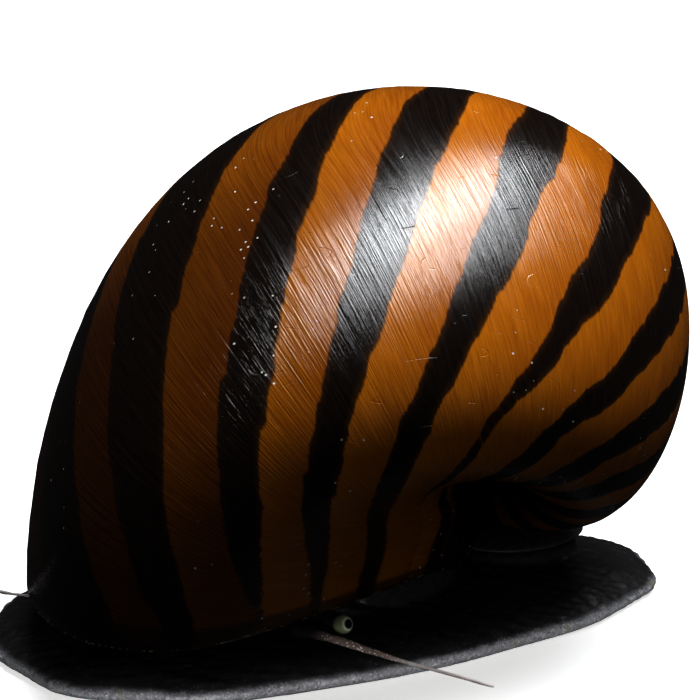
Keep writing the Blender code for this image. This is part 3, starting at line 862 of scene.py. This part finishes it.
def smooth_path(points, shares):
    """Points on a smooth curve through the given points, at shares of its length."""
    points = np.array(points, dtype=float)
    slopes = np.gradient(points, axis=0)
    fine = np.linspace(0, len(points) - 1, PATH_POINTS)
    i = np.minimum(fine.astype(int), len(points) - 2)
    t = (fine - i)[:, None]
    path = points[i] * (2 * t**3 - 3 * t**2 + 1) + slopes[i] * (t**3 - 2 * t**2 + t)
    path += points[i + 1] * (3 * t**2 - 2 * t**3) + slopes[i + 1] * (t**3 - t**2)
    reach = np.concatenate([[0], np.cumsum(np.linalg.norm(np.diff(path, axis=0), axis=1))])
    spots = np.asarray(shares) * reach[-1]
    return np.stack([np.interp(spots, reach, path[:, k]) for k in range(3)], axis=1)


def sweep_rings(path, radii):
    """A round tube: circles of each radius, square to the path."""
    along = unit(np.gradient(path, axis=0))
    side = unit(np.cross(along, [0.0, 0.0, 1.0]))
    over = np.cross(side, along)
    turn = whole_turn(TUBE_SIDES)
    circle = np.cos(turn)[:, None] * side[:, None, :] + np.sin(turn)[:, None] * over[:, None, :]
    return path[:, None, :] + circle * np.asarray(radii)[:, None, None]


def feeler_rings(points):
    """One feeler: a tapering tube with faint rings and a rounded tip."""
    shares = np.linspace(0, 1, FEELER_STEPS)
    path = smooth_path(points, shares)
    radii = FEELER_ROOT + (FEELER_TIP - FEELER_ROOT) * shares**FEELER_POWER
    radii = radii * np.sqrt(np.clip((1 - shares) / FEELER_ROUND[0], FEELER_ROUND[1], 1.0))
    return sweep_rings(path, radii * (1 + FEELER_RINGS[0] * np.sin(shares * FEELER_RINGS[1])))


def feeler_base(points, sign):
    """The short stretch between the inside of the head and a feeler's first point, and the
    ball that rounds the bend between the two.
    """
    left = head_directions()[1]
    inside = HEAD_CENTRE + left * sign * FEELER_ORIGIN[0] + [0, 0, FEELER_ORIGIN[1]]
    spots = np.linspace(inside, points[0], FEELER_BASE_STEPS)
    return [sweep_rings(spots, np.full(len(spots), FEELER_ROOT)), ball_rings(points[0], (FEELER_ROOT,) * 3)]


def eye_line(sign):
    """Where the line through one eye starts inside the head, and the way it runs outward."""
    ahead, left = head_directions()
    base = HEAD_CENTRE - ahead * EYE_BACK
    base[2] = EYE_HEIGHT
    return base, left * sign


def skin_parts(loop):
    """Rings of every part of the skin, in millimetres, before they are grown together."""
    ahead, left = head_directions()
    parts = [foot_rings(), ball_rings(HEAD_CENTRE, HEAD_RADII)]
    parts.append(ball_rings(HEAD_CENTRE + ahead * SNOUT[0] + [0, 0, SNOUT[1]], SNOUT[2]))
    for side in (1, -1):
        lip = HEAD_CENTRE + ahead * LIP[0] + left * side * LIP[1] + [0, 0, LIP[2]]
        parts.append(ball_rings(lip, LIP[3]))
        base, outward = eye_line(side)
        spots = base + outward * np.linspace(STALK_START, STALK_END, STALK_STEPS)[:, None]
        parts.append(sweep_rings(spots, STALK_RADIUS * np.linspace(*STALK_TAPER, STALK_STEPS)))
    for path, sign in ((LEFT_FEELER, 1), (RIGHT_FEELER, -1)):
        parts += [feeler_rings(path), *feeler_base(path, sign)]
    spread = loop - loop.mean(axis=0)
    turn = np.arctan2(spread[:, 1], spread[:, 0])
    rings = [np.stack([NECK_CENTRE[0] + NECK_RADII[0] * share * np.cos(turn),
                       NECK_CENTRE[1] + NECK_RADII[1] * share * np.sin(turn),
                       np.full(len(turn), height)], axis=1) for height, share in NECK_OVALS]
    rings += [lip_ring(loop, inset, height, share) for inset, height, share in NECK_ROOF]
    parts.append(np.array(rings))
    parts.append(ball_rings(LID_CENTRE + LID_BED[0], LID_BED[1]))
    return parts


def grown_together(name, parts, grain):
    """One closed surface round all the parts: a voxel surface, then a little smoothing."""
    points = []
    faces = []
    for rings in parts:
        part_points, groups = tube_mesh(rings)
        shift = sum(len(block) for block in points)
        points.append(part_points)
        faces += [[shift + index for index in face] for group in groups for face in group]
    mesh = bpy.data.meshes.new(name)
    mesh.from_pydata(np.vstack(points).tolist(), [], faces)
    holder = bpy.data.objects.new(name, mesh)
    bpy.context.scene.collection.objects.link(holder)
    remesh = holder.modifiers.new("voxels", "REMESH")
    remesh.mode = "VOXEL"
    remesh.voxel_size = grain
    smooth = holder.modifiers.new("smoothing", "SMOOTH")
    smooth.factor = SMOOTH_SHARE
    smooth.iterations = SMOOTH_ROUNDS
    view = bpy.context.evaluated_depsgraph_get()
    result = bpy.data.meshes.new_from_object(holder.evaluated_get(view))
    bpy.data.objects.remove(holder, do_unlink=True)
    count = len(result.vertices)
    flat = np.empty(count * 3)
    result.vertices.foreach_get("co", flat)
    normals = np.empty(count * 3)
    result.vertices.foreach_get("normal", normals)
    return result, flat.reshape(-1, 3), normals.reshape(-1, 3)


def wave_noise(points, length, seed, waves=14):
    """A smooth random field: a sum of seeded plane waves of about one length."""
    draw = np.random.default_rng(seed)
    ways = draw.normal(size=(waves, 3))
    scale = 2 * math.pi / length / np.linalg.norm(ways, axis=1)[:, None]
    ways *= scale * draw.uniform(*WAVE_SPREAD, (waves, 1))
    phases = draw.uniform(0, 2 * math.pi, waves)
    return np.sin(points @ ways.T + phases).sum(axis=1) / math.sqrt(waves)


def slim_feelers(points):
    """Draw each feeler in round its path to its fine thickness. Gives back the points, a
    weight that is 1 on the feelers and 0 elsewhere, and the share of the feeler's length.
    """
    points = points.copy()
    weight = np.zeros(len(points))
    along = np.zeros(len(points))
    shares = np.linspace(0, 1, FINE_STEPS)
    for path, strength in zip((LEFT_FEELER, RIGHT_FEELER), COLOUR_SHARES):
        spots = smooth_path(path, shares)
        box = (points > spots.min(axis=0) - FINE_MARGIN) & (points < spots.max(axis=0) + FINE_MARGIN)
        chosen = np.flatnonzero(box.all(axis=1))
        reach = np.linalg.norm(points[chosen, None] - spots[None], axis=2)
        nearest = reach.argmin(axis=1)
        share = shares[nearest]
        near = (1 - ease(reach.min(axis=1), *FINE_REACH)) * ease(share, *FINE_START)
        built = FEELER_ROOT + (FEELER_TIP - FEELER_ROOT) * share**FEELER_POWER
        fine = FINE_ROOT + (FINE_TIP - FINE_ROOT) * ease(share, *FINE_TAPER)
        factor = 1 + (fine / built - 1) * near
        points[chosen] = spots[nearest] + (points[chosen] - spots[nearest]) * factor[:, None]
        colour_weight = near * strength * ease(share, *COLOUR_START)
        weight[chosen] = np.maximum(weight[chosen], colour_weight)
        along[chosen] = np.where(near > 0, share, along[chosen])
    return points, weight, along


def cut_mouth(points):
    """Press the mouth's upright slit into the snout between the lips: back by the depth times
    exp(-(distance to the left or right / width)^2), fading out over its length and its height.
    """
    ahead, left = head_directions()
    offset = points - (HEAD_CENTRE + ahead * MOUTH_SPOT[0] + [0, 0, MOUTH_SPOT[1]])
    middle = np.exp(-(((offset @ left) / MOUTH_WIDTH) ** 2))
    length = 1 - ease(np.abs(offset @ ahead), *MOUTH_FADES[0])
    height = 1 - ease(np.abs(offset[:, 2]), *MOUTH_FADES[1])
    return points - (MOUTH_DEPTH * middle * length * height)[:, None] * ahead


def flesh_finish(sizes):
    """Moist skin: near black on the back, darker than its own grey as painted shade of the shell's
    shadow, grey and mottled on the foot's rim, pinkish brown on the feelers and far paler on their
    outer half as painted light, with pale grains all over and in clusters on the feelers' inner
    half, near white there as a painted highlight. Attribute skin is the share of a feeler's length,
    the weight of feeler, and height in millimetres.
    """
    finish = Finish("flesh_finish")
    along, feeler, height = finish.attribute("skin")
    place = finish.place()
    clouds = finish.noise(place, 900.0, detail=3.0, roughness=0.6)
    mottle = finish.noise(place, 9500.0, detail=3.0, roughness=0.7)
    # The pale rim is the sole's own edge; where it turns near black above, the border also stands in for the
    # edge of the shell's shadow as painted shade
    pale = (height + (clouds - 0.5) * 0.22).fall(0.34, 0.62)
    colour = finish.mix(pale, sizes.back, sizes.edge)
    colour = finish.mix(mottle.step(0.50, 0.72) * (0.015 + pale * 0.62), colour, PALE_FLECK)
    colour = finish.mix((1.0 - mottle).step(0.54, 0.70) * 0.75, colour, DARK_PIT)
    # Painted light: the feelers' outer half is far paler than the inner, where it reaches out of the shell's
    # shadow
    outer_painted_light = along.step(0.42, 0.66)
    colour = finish.mix(feeler, colour, finish.mix(outer_painted_light, sizes.feeler, sizes.tip))
    # Pale grains; on the feelers' inner half they are dense and near white, a painted highlight standing in
    # for glints on the wet grains
    cluster = finish.noise(place, 2400.0).step(0.52 - feeler * 0.17, 0.58 - feeler * 0.17)
    grains = finish.cells(place, 9000.0).fall(0.14 + feeler * 0.10, 0.32 + feeler * 0.10) * cluster
    amount = 0.06 + pale * 0.24 + feeler * (1.0 - outer_painted_light) * 0.95
    colour = finish.mix((grains * amount).at_most(1.0), colour, GRAIN_AND_GLINT)
    blotch = finish.noise(place, 1300.0, detail=1.0).step(0.66, 0.72) * pale * (1.0 - feeler)
    colour = finish.mix(blotch * 0.7, colour, OLIVE_BLOTCH)
    patch = feeler * (along - 0.60).size().fall(0.012, 0.024)
    colour = finish.mix(patch, colour, FEELER_PATCH)
    finish.set(Base_Color=colour, Roughness=0.42 - grains * 0.1, Coat_Weight=0.12, Coat_Roughness=0.25,
               IOR=1.4, Specular_IOR_Level=0.35)
    pores = finish.noise(place, 6500.0, detail=3.0)
    finish.set(Normal=finish.bump(pores + clouds * 1.5, 0.03 * MM, 0.7))
    return finish.material


class SNAIL_OT_flesh(bpy.types.Operator):
    """Grow foot, neck, head, stalks and feelers together as one skin"""

    bl_idname = "snail.flesh"
    bl_label = "Flesh"

    def execute(self, context):
        sizes = context.scene.snail_flesh
        loop = mouth_loop(Horn(context.scene.snail_shell)) / MM
        mesh, points, normals = grown_together("skin", skin_parts(loop), sizes.grain / MM)
        points, feeler, along = slim_feelers(points)
        free = ease(points[:, 2], *SKIN_BUMP_RISE) * (1 - feeler)
        bumps = sum(height * wave_noise(points, wave, seed) for height, wave, seed in SKIN_BUMPS)
        points = points + normals * (bumps * free)[:, None]
        points = cut_mouth(points)
        points[:, 2] = np.maximum(points[:, 2], 0.0)
        mesh.vertices.foreach_set("co", (points * MM).ravel())
        skin = np.stack([along, feeler, points[:, 2]], axis=1)
        piece = make_object("skin", mesh, flesh_finish(sizes), {"skin": skin})
        parts = ("foot", "neck", "head", "eyestalk", "feeler")
        finish_piece(piece, "flesh", *[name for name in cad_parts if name.startswith(parts)])
        return {"FINISHED"}


def mantle_finish():
    """Dark brownish skin with yellow dots."""
    finish = Finish("mantle_finish")
    place = finish.place()
    dots = finish.noise(place, 1900.0, detail=2.0).step(0.55, 0.68)
    colour = finish.mix(dots, MANTLE_SKIN, MANTLE_DOTS)
    finish.set(Base_Color=colour, Roughness=0.4, Coat_Weight=0.3, Coat_Roughness=0.2)
    finish.set(Normal=finish.bump(finish.noise(place, 5000.0, detail=2.0), 0.03 * MM, 0.6))
    return finish.material


class SNAIL_OT_mantle(bpy.types.Operator):
    """Build the beaded mantle edge just inside the lip"""

    bl_idname = "snail.mantle"
    bl_label = "Mantle edge"

    def execute(self, context):
        sizes = context.scene.snail_shell
        loop = mouth_loop(Horn(sizes))
        count = len(loop)
        beads = BEAD_HEIGHT * np.abs(np.sin(np.arange(count) * math.pi / BEAD_POINTS))
        rows = []
        for angle in whole_turn(MANTLE_SIDES):
            inset = MANTLE_INSET + MANTLE_HALF_WIDTH * (1 - math.cos(angle))
            height = MANTLE_RISE - math.sin(angle) * MANTLE_HALF_HEIGHT - beads * math.sin(angle)
            rows.append(lip_ring(loop, inset * MM, sizes.lip + height * MM))
        quads = grid_faces(MANTLE_SIDES + 1, count) % (MANTLE_SIDES * count)
        piece = make_piece("mantle_ring", np.concatenate(rows), [quads.tolist()], mantle_finish())
        finish_piece(piece, "mantle", "mantle_edge")
        return {"FINISHED"}


def eye_finish(sizes):
    """A glassy ball with a dark pupil inside a pale ring. Attribute gaze is the distance from
    the middle of the pupil in radians.
    """
    finish = Finish("eye_finish")
    gaze = finish.attribute("gaze")[0]
    cloud = finish.noise(finish.place(), 5200.0, detail=2.0)
    colour = finish.mix(cloud, sizes.ball, EYE_CLOUD)
    ring = gaze.step(0.46, 0.56) * gaze.fall(0.64, 0.85)
    colour = finish.mix(ring * 0.85, colour, EYE_RING)
    colour = finish.mix(gaze.fall(0.42, 0.53), colour, sizes.pupil)
    finish.set(Base_Color=colour, Roughness=0.10, Coat_Weight=1.0, Coat_Roughness=0.03, IOR=1.45)
    return finish.material


class SNAIL_OT_eyes(bpy.types.Operator):
    """Build both eyes with their pupils looking outward"""

    bl_idname = "snail.eyes"
    bl_label = "Eyes"

    def execute(self, context):
        material = eye_finish(context.scene.snail_eyes)
        ahead = head_directions()[0]
        for side, sign in (("left", 1), ("right", -1)):
            base, outward = eye_line(sign)
            centre = base + outward * EYE_OUT
            rings = ball_rings(centre, (EYE_RADIUS,) * 3, EYE_GRID)
            look = unit(outward * EYE_AIM[0] + ahead * EYE_AIM[1] + [0, 0, EYE_AIM[2]])
            points, groups = tube_mesh(rings)
            gaze = np.arccos(np.clip(unit(points - centre) @ look, -1, 1))
            values = np.stack([gaze, gaze, gaze], axis=1)
            piece = make_piece(f"eyeball_{side}", points * MM, groups, material, {"gaze": values})
            finish_piece(piece, "eye", f"eye_{side}")
        return {"FINISHED"}


def lid_finish(sizes):
    """Horn with growth bands round a point near its inner corner. Attribute rings is the
    distance from that point.
    """
    finish = Finish("lid_finish")
    reach = finish.attribute("rings")[0]
    bands = finish.noise(finish.vector(reach * 9.0, 0.0, 0.0), 1.0, detail=3.0)
    colour = finish.mix(bands.step(0.35, 0.65), LID_GROOVE, sizes.lid)
    finish.set(Base_Color=colour, Roughness=0.55)
    finish.set(Normal=finish.bump(bands, 0.04 * MM, 0.8))
    return finish.material


class SNAIL_OT_lid(bpy.types.Operator):
    """Build the horny lid carried on the tail"""

    bl_idname = "snail.lid"
    bl_label = "Lid"

    def execute(self, context):
        points, groups = tube_mesh(ball_rings(LID_CENTRE, LID_RADII, LID_GRID))
        reach = np.linalg.norm((points - LID_CENTRE)[:, :2] - LID_START, axis=1)
        fade = ease(points[:, 2], LID_CENTRE[2], LID_CENTRE[2] + LID_RIDGE_FADE)
        points[:, 2] += LID_RIDGES[0] * np.sin(reach * LID_RIDGES[1]) * fade
        values = np.stack([reach, reach, reach], axis=1)
        material = lid_finish(context.scene.snail_eyes)
        piece = make_piece("lid_plate", points * MM, groups, material, {"rings": values})
        finish_piece(piece, "lid", "operculum")
        return {"FINISHED"}


def area_light(name, power):
    """One rectangular light of the stage. It faces its target and isn't seen itself."""
    place, target, size, colour = LIGHTS[name]
    data = bpy.data.lights.new(name, "AREA")
    data.energy = power
    data.shape = "RECTANGLE"
    data.size, data.size_y = size
    data.color = colour
    data.spread = SPREADS.get(name, math.pi)
    light = bpy.data.objects.new(name, data)
    bpy.context.scene.collection.objects.link(light)
    light.location = place
    light.visible_camera = False
    light.rotation_euler = (Vector(target) - Vector(place)).to_track_quat("-Z", "Y").to_euler()
    return light


class SNAIL_OT_stage(bpy.types.Operator):
    """Set the pale floor, the lights and the camera"""

    bl_idname = "snail.stage"
    bl_label = "Stage"

    def execute(self, context):
        sizes = context.scene.snail_stage
        scene = context.scene
        scene.view_settings.view_transform = "Standard"
        scene.view_settings.gamma = PICTURE_GAMMA
        floor_finish = Finish("floor_finish")
        floor_finish.set(Base_Color=FLOOR_COLOUR, Roughness=0.9, Emission_Color=FLOOR_GLOW,
                         Emission_Strength=FLOOR_GLOW_STRENGTH)
        corners = FLOOR_HALF * np.array([[-1, -1, 0], [1, -1, 0], [1, 1, 0], [-1, 1, 0]])
        corners[:, 2] = -FLOOR_DROP
        floor = make_piece("floor", corners, [[[0, 1, 2, 3]]], floor_finish.material)
        floor.visible_diffuse = False
        floor.visible_glossy = False
        world = bpy.data.worlds.new("studio")
        scene.world = world
        world.use_nodes = True
        background = world.node_tree.nodes["Background"]
        background.inputs["Color"].default_value = (1.0, 1.0, 1.0, 1.0)
        background.inputs["Strength"].default_value = SKY_STRENGTH
        lights = {name: area_light(name, getattr(sizes, name)) for name in LIGHTS}
        lights["fill"].visible_glossy = False
        camera_data = bpy.data.cameras.new("camera")
        camera_data.lens = sizes.lens
        camera_data.clip_start, camera_data.clip_end = CAMERA_RANGE
        camera = bpy.data.objects.new("camera", camera_data)
        scene.collection.objects.link(camera)
        level = math.cos(sizes.rise)
        away = Vector((math.sin(sizes.turn) * level, -math.cos(sizes.turn) * level, math.sin(sizes.rise)))
        camera.location = Vector(STAGE_TARGET) + away * sizes.reach
        camera.rotation_euler = (-away).to_track_quat("-Z", "Y").to_euler()
        scene.camera = camera
        return {"FINISHED"}


class SNAIL_PT_pieces(bpy.types.Panel):
    """The snail's pieces, each with its button"""

    bl_idname = "SNAIL_PT_pieces"
    bl_label = "Nerite snail"
    bl_space_type = "VIEW_3D"
    bl_region_type = "UI"
    bl_category = "Snail"

    def draw(self, context):
        for operator in OPERATORS:
            self.layout.operator(operator.bl_idname, text=operator.bl_label)
        for group in GROUPS:
            settings = getattr(context.scene, group)
            for name in settings.__annotations__:
                self.layout.prop(settings, name)


OPERATORS = (SNAIL_OT_shell, SNAIL_OT_flesh, SNAIL_OT_mantle, SNAIL_OT_eyes, SNAIL_OT_lid, SNAIL_OT_stage)
GROUPS = {
    "snail_shell": ShellSizes,
    "snail_flesh": FleshSizes,
    "snail_eyes": EyeSizes,
    "snail_stage": StageSizes,
}


def register():
    """Make the operators, the panel and the settings known to Blender."""
    for group in (*GROUPS.values(), *OPERATORS, SNAIL_PT_pieces):
        bpy.utils.register_class(group)
    for name, group in GROUPS.items():
        setattr(bpy.types.Scene, name, PointerProperty(type=group))


def unregister():
    """Take them away again."""
    for name in GROUPS:
        delattr(bpy.types.Scene, name)
    for group in reversed((*GROUPS.values(), *OPERATORS, SNAIL_PT_pieces)):
        bpy.utils.unregister_class(group)


def main():
    """Build every piece and the stage."""
    register()
    for operator in (bpy.ops.snail.shell, bpy.ops.snail.flesh, bpy.ops.snail.mantle, bpy.ops.snail.eyes,
                     bpy.ops.snail.lid, bpy.ops.snail.stage):
        operator()


if __name__ == "__main__":
    main()
